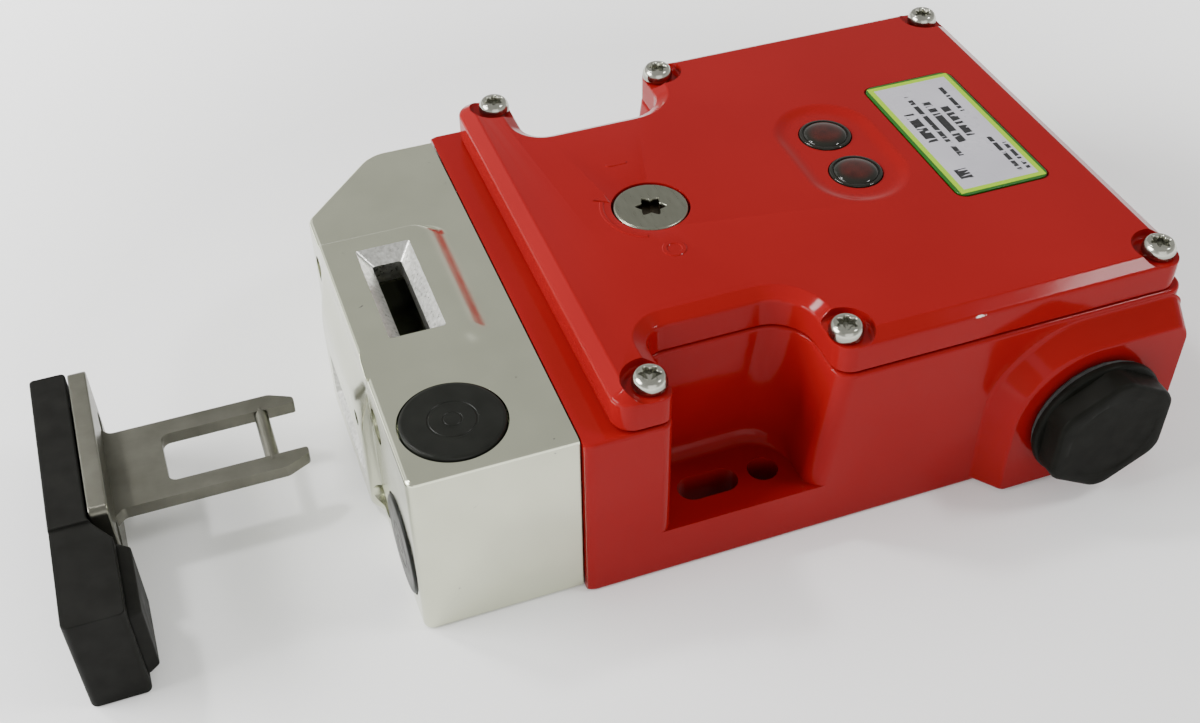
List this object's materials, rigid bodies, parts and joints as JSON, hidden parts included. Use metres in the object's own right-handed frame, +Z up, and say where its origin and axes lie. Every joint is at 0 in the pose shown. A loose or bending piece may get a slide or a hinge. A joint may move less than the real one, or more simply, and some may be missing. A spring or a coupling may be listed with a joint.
{
  "type": "solenoid interlock switch with actuator key",
  "caption": "Solenoid interlock switch: glossy red cast housing with screwed lid, bright cast head with two key entries, conduit plugs, and a fork-shaped actuator key with coded tag.",
  "frame": {"origin": "underside of the base, midway between the two round fixing holes", "axes": "+X along the housing from the head to the conduit end, +Y to the side away from the sensor caps, +Z up out of the lid"},
  "size_m": [0.187, 0.1114, 0.0422],
  "materials": {
    "enamel": "gloss",
    "cast": "satin",
    "steel": "satin",
    "key_metal": "satin",
    "black": "satin",
    "grey": "matte",
    "seal": "matte",
    "smoke": "gloss",
    "lamp": "gloss",
    "board": "matte",
    "label": "satin",
    "copper": "satin",
    "brass": "satin"
  },
  "bodies": {
    "housing": {"body_casting": "enamel", "lid": "enamel", "head_casting": "cast", "solenoid_frame": "cast", "lid_screw_1": "steel", "lid_screw_2": "steel", "lid_screw_3": "steel", "lid_screw_4": "steel", "lid_screw_5": "steel", "lid_screw_6": "steel", "head_screw_1": "steel", "head_screw_2": "steel", "head_screw_3": "steel", "head_screw_4": "steel", "cam_axle": "steel", "return_spring": "steel", "top_sensor_cap": "black", "front_sensor_cap": "black", "conduit_plug_near": "black", "conduit_plug_far": "black", "coil_bobbin": "black", "top_sensor_coil": "grey", "front_sensor_coil": "grey", "contact_block_near": "grey", "contact_block_far": "grey", "terminal_block": "grey", "lid_gasket": "seal", "head_gasket": "seal", "release_seal": "seal", "plug_washer_near": "seal", "plug_washer_far": "seal", "lamp_lens_1": "smoke", "lamp_lens_2": "smoke", "lamp_1": "lamp", "lamp_2": "lamp", "lamp_board": "board", "label_plate": "label", "coil_winding": "copper", "terminal_screw_1": "brass", "terminal_screw_2": "brass", "terminal_screw_3": "brass", "terminal_screw_4": "brass"},
    "key": {"actuator_key": "key_metal", "key_crossbar": "key_metal", "tag_holder": "black", "coded_tag": "grey"},
    "cam": {"cam_rotor": "steel"},
    "bolt": {"lock_bolt": "steel", "plunger": "steel"},
    "release": {"release_spindle": "steel"}
  },
  "joints": [
    {"name": "key_slide", "type": "slide", "parent": "housing", "child": "key", "axis": [1, 0, 0], "range_m": [0, 0.036]},
    {"name": "cam_turn", "type": "hinge", "parent": "housing", "child": "cam", "pos_m": [-0.0437, 0, 0.0177], "axis": [0, -1, 0], "range_deg": [0, 45]},
    {"name": "bolt_slide", "type": "slide", "parent": "housing", "child": "bolt", "axis": [-1, 0, 0], "range_m": [0, 0.0034]},
    {"name": "release_turn", "type": "hinge", "parent": "housing", "child": "release", "pos_m": [-0.0063, 0, 0.0413], "axis": [0, 0, 1], "range_deg": [0, 180]}
  ],
  "couplings": [
    {"joint": "cam_turn", "follows": "key_slide", "rad_per_m": 21.817},
    {"joint": "bolt_slide", "follows": "key_slide", "ratio": 0.094434}
  ]
}
